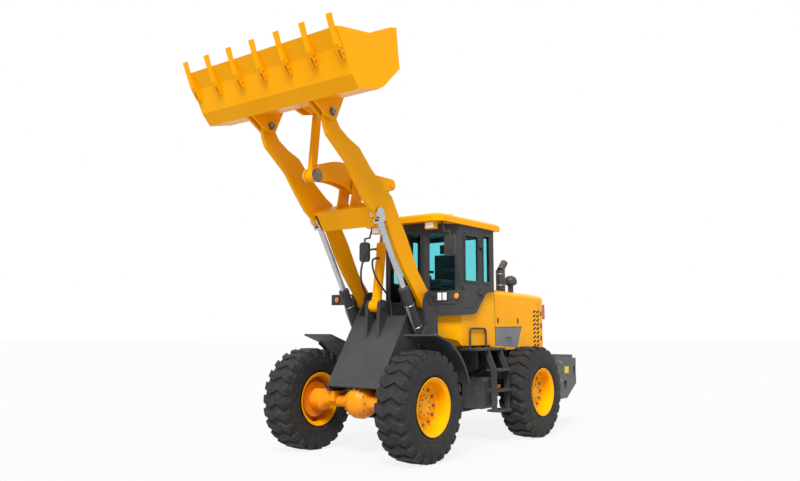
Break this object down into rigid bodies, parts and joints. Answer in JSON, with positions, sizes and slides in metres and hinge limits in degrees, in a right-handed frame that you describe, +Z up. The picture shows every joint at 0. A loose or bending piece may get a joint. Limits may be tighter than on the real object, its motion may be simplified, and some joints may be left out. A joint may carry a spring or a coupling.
{
  "type": "wheel loader",
  "caption": "Articulated wheel loader with a raised Z-bar boom, a toothed bucket rolled back, a glazed cab, a rear engine hood and large lugged tyres",
  "frame": {"origin": "on the ground under the middle of the overall box", "axes": "+X forward, +Y to the machine's left, +Z up"},
  "size_m": [6.59, 2.48, 5.052],
  "materials": {
    "yellow_paint": "satin yellow enamel",
    "frame_paint": "satin dark grey enamel",
    "orange_paint": "gloss orange-yellow enamel",
    "chrome_rod": "polished hard chrome",
    "pin_steel": "greased turned steel",
    "tyre_rubber": "matt black rubber",
    "black_plastic": "textured black",
    "seat_cloth": "dark woven cover",
    "cab_glazing": "green-blue tinted safety glass",
    "hose_rubber": "matt black hose",
    "panel_grey": "satin grey enamel",
    "tail_lens": "red and amber moulded lens"
  },
  "bodies": {
    "rear_machine": {"rear_frame": "frame_paint", "rear_axle": "orange_paint", "counterweight": "frame_paint", "engine": "frame_paint", "cab_base": "yellow_paint", "hood": "yellow_paint", "cab_shell": "frame_paint", "cab_roof": "yellow_paint", "cab_glass": "cab_glazing", "operator_seat": "seat_cloth", "steering_column": "black_plastic", "exhaust_stack": "frame_paint", "ladders": "frame_paint", "mirrors": "black_plastic", "side_panels": "panel_grey", "radiator_grille": "frame_paint", "tail_lamps": "tail_lens", "air_cleaner": "black_plastic", "side_tanks": "frame_paint", "drive_shaft_rear": "frame_paint"},
    "front_machine": {"front_frame": "frame_paint", "front_axle": "orange_paint", "front_fenders": "frame_paint", "headlamps": "black_plastic", "drive_shaft_front": "frame_paint", "tilt_hose_left": "hose_rubber", "tilt_hose_right": "hose_rubber"},
    "wheel_front_left": {"tyre_front_left": "tyre_rubber", "rim_front_left": "yellow_paint"},
    "wheel_front_right": {"tyre_front_right": "tyre_rubber", "rim_front_right": "yellow_paint"},
    "wheel_rear_left": {"tyre_rear_left": "tyre_rubber", "rim_rear_left": "yellow_paint"},
    "wheel_rear_right": {"tyre_rear_right": "tyre_rubber", "rim_rear_right": "yellow_paint"},
    "boom": {"boom_arm_left": "yellow_paint", "boom_arm_right": "yellow_paint", "boom_cross_box": "yellow_paint"},
    "bucket_hinge": {"bucket_pins": "pin_steel"},
    "bucket_body": {"bucket": "yellow_paint", "bucket_teeth": "yellow_paint"},
    "bellcrank_shaft": {"bellcrank_pin": "pin_steel"},
    "bellcrank_body": {"bellcrank": "yellow_paint"},
    "link_shaft": {"link_pin": "pin_steel"},
    "link_body": {"bucket_link": "yellow_paint"},
    "tilt_cylinder": {"tilt_barrel": "yellow_paint"},
    "tilt_piston": {"tilt_rod": "chrome_rod"},
    "lift_cylinder_left": {"lift_barrel_left": "frame_paint"},
    "lift_piston_left": {"lift_rod_left": "chrome_rod"},
    "steer_cylinder_left": {"steer_barrel_left": "frame_paint"},
    "steer_piston_left": {"steer_rod_left": "chrome_rod"},
    "door_left": {"cab_door_left": "frame_paint", "door_glass_left": "cab_glazing"},
    "lift_cylinder_right": {"lift_barrel_right": "frame_paint"},
    "lift_piston_right": {"lift_rod_right": "chrome_rod"},
    "steer_cylinder_right": {"steer_barrel_right": "frame_paint"},
    "steer_piston_right": {"steer_rod_right": "chrome_rod"},
    "door_right": {"cab_door_right": "frame_paint", "door_glass_right": "cab_glazing"}
  },
  "joints": [
    {"name": "steer", "type": "hinge", "parent": "rear_machine", "child": "front_machine", "pos_m": [-0.13, 0, 0.74], "axis": [0, 0, 1], "range_deg": [-38, 38]},
    {"name": "wheel_front_left_spin", "type": "hinge", "parent": "front_machine", "child": "wheel_front_left", "pos_m": [1.295, 0.925, 0.66988], "axis": [0, 1, 0], "continuous": true},
    {"name": "wheel_front_right_spin", "type": "hinge", "parent": "front_machine", "child": "wheel_front_right", "pos_m": [1.295, -0.925, 0.66988], "axis": [0, 1, 0], "continuous": true},
    {"name": "wheel_rear_left_spin", "type": "hinge", "parent": "rear_machine", "child": "wheel_rear_left", "pos_m": [-1.555, 0.925, 0.66988], "axis": [0, 1, 0], "continuous": true},
    {"name": "wheel_rear_right_spin", "type": "hinge", "parent": "rear_machine", "child": "wheel_rear_right", "pos_m": [-1.555, -0.925, 0.66988], "axis": [0, 1, 0], "continuous": true},
    {"name": "boom_lift", "type": "hinge", "parent": "front_machine", "child": "boom", "pos_m": [0.615, 0, 1.96], "axis": [0, -1, 0], "range_deg": [-83, 0]},
    {"name": "bucket_hinge_level", "type": "hinge", "parent": "boom", "child": "bucket_hinge", "pos_m": [2.525, 0, 4.09], "axis": [0, -1, 0], "range_deg": [-1, 46]},
    {"name": "bucket_tilt", "type": "hinge", "parent": "bucket_hinge", "child": "bucket_body", "pos_m": [2.525, 0, 4.09], "axis": [0, -1, 0], "range_deg": [-93, 0]},
    {"name": "bellcrank_level", "type": "hinge", "parent": "boom", "child": "bellcrank_shaft", "pos_m": [1.52, 0, 3.45], "axis": [0, -1, 0], "range_deg": [-27.5, 1]},
    {"name": "bellcrank_swing", "type": "hinge", "parent": "bellcrank_shaft", "child": "bellcrank_body", "pos_m": [1.52, 0, 3.45], "axis": [0, -1, 0], "range_deg": [-1, 22]},
    {"name": "link_level", "type": "hinge", "parent": "bellcrank_body", "child": "link_shaft", "pos_m": [2.26, 0, 3.45], "axis": [0, -1, 0], "range_deg": [-1, 37.5]},
    {"name": "link_swing", "type": "hinge", "parent": "link_shaft", "child": "link_body", "pos_m": [2.26, 0, 3.45], "axis": [0, -1, 0], "range_deg": [-56.5, 1]},
    {"name": "tilt_cylinder_swing", "type": "hinge", "parent": "front_machine", "child": "tilt_cylinder", "pos_m": [1, 0, 1.9], "axis": [0, -1, 0], "range_deg": [-97, 1], "deforming": ["tilt_hose_left", "tilt_hose_right"]},
    {"name": "tilt_piston_slide", "type": "slide", "parent": "tilt_cylinder", "child": "tilt_piston", "axis": [-0.1372, 0, 0.9905], "range_m": [-0.31, 0.005]},
    {"name": "lift_cylinder_left_swing", "type": "hinge", "parent": "front_machine", "child": "lift_cylinder_left", "pos_m": [0.47, 0.51, 1.1], "axis": [0, -1, 0], "range_deg": [-61, 1]},
    {"name": "lift_piston_left_slide", "type": "slide", "parent": "lift_cylinder_left", "child": "lift_piston_left", "axis": [0.5135, 0, 0.8581], "range_m": [-0.93, 0.005]},
    {"name": "lift_cylinder_right_swing", "type": "hinge", "parent": "front_machine", "child": "lift_cylinder_right", "pos_m": [0.47, -0.51, 1.1], "axis": [0, -1, 0], "range_deg": [-61, 1]},
    {"name": "lift_piston_right_slide", "type": "slide", "parent": "lift_cylinder_right", "child": "lift_piston_right", "axis": [0.5135, 0, 0.8581], "range_m": [-0.93, 0.005]},
    {"name": "steer_cylinder_left_swing", "type": "hinge", "parent": "rear_machine", "child": "steer_cylinder_left", "pos_m": [-0.79, 0.24, 0.74], "axis": [0, 0, 1], "range_deg": [-9.5, 9.5]},
    {"name": "steer_piston_left_slide", "type": "slide", "parent": "steer_cylinder_left", "child": "steer_piston_left", "axis": [0.9943, 0.1065, 0], "range_m": [-0.205, 0.205]},
    {"name": "steer_cylinder_right_swing", "type": "hinge", "parent": "rear_machine", "child": "steer_cylinder_right", "pos_m": [-0.79, -0.24, 0.74], "axis": [0, 0, 1], "range_deg": [-9.5, 9.5]},
    {"name": "steer_piston_right_slide", "type": "slide", "parent": "steer_cylinder_right", "child": "steer_piston_right", "axis": [0.9943, -0.1065, 0], "range_m": [-0.205, 0.205]},
    {"name": "door_left_open", "type": "hinge", "parent": "rear_machine", "child": "door_left", "pos_m": [-0.605, 0.67, 2.295], "axis": [0, 0, 1], "range_deg": [0, 100]},
    {"name": "door_right_open", "type": "hinge", "parent": "rear_machine", "child": "door_right", "pos_m": [-0.605, -0.67, 2.295], "axis": [0, 0, -1], "range_deg": [0, 100]}
  ],
  "couplings": [
    {"joint": "bucket_hinge_level", "follows": "boom_lift", "ratio": -0.54217},
    {"joint": "bellcrank_level", "follows": "boom_lift", "ratio": 0.31651},
    {"joint": "bellcrank_swing", "follows": "bucket_tilt", "ratio": -0.22516},
    {"joint": "link_level", "follows": "boom_lift", "ratio": -0.43554},
    {"joint": "link_swing", "follows": "bucket_tilt", "ratio": 0.59344},
    {"joint": "tilt_cylinder_swing", "follows": "boom_lift", "ratio": 1.1416},
    {"joint": "tilt_piston_slide", "follows": "bucket_tilt", "m_per_rad": 0.18563},
    {"joint": "lift_cylinder_left_swing", "follows": "boom_lift", "ratio": 0.7159},
    {"joint": "lift_piston_left_slide", "follows": "boom_lift", "m_per_rad": 0.63371},
    {"joint": "lift_cylinder_right_swing", "follows": "boom_lift", "ratio": 0.7159},
    {"joint": "lift_piston_right_slide", "follows": "boom_lift", "m_per_rad": 0.63371},
    {"joint": "steer_cylinder_left_swing", "follows": "steer", "ratio": 0.23026},
    {"joint": "steer_piston_left_slide", "follows": "steer", "m_per_rad": -0.29854},
    {"joint": "steer_cylinder_right_swing", "follows": "steer", "ratio": 0.23026},
    {"joint": "steer_piston_right_slide", "follows": "steer", "m_per_rad": 0.29854}
  ]
}
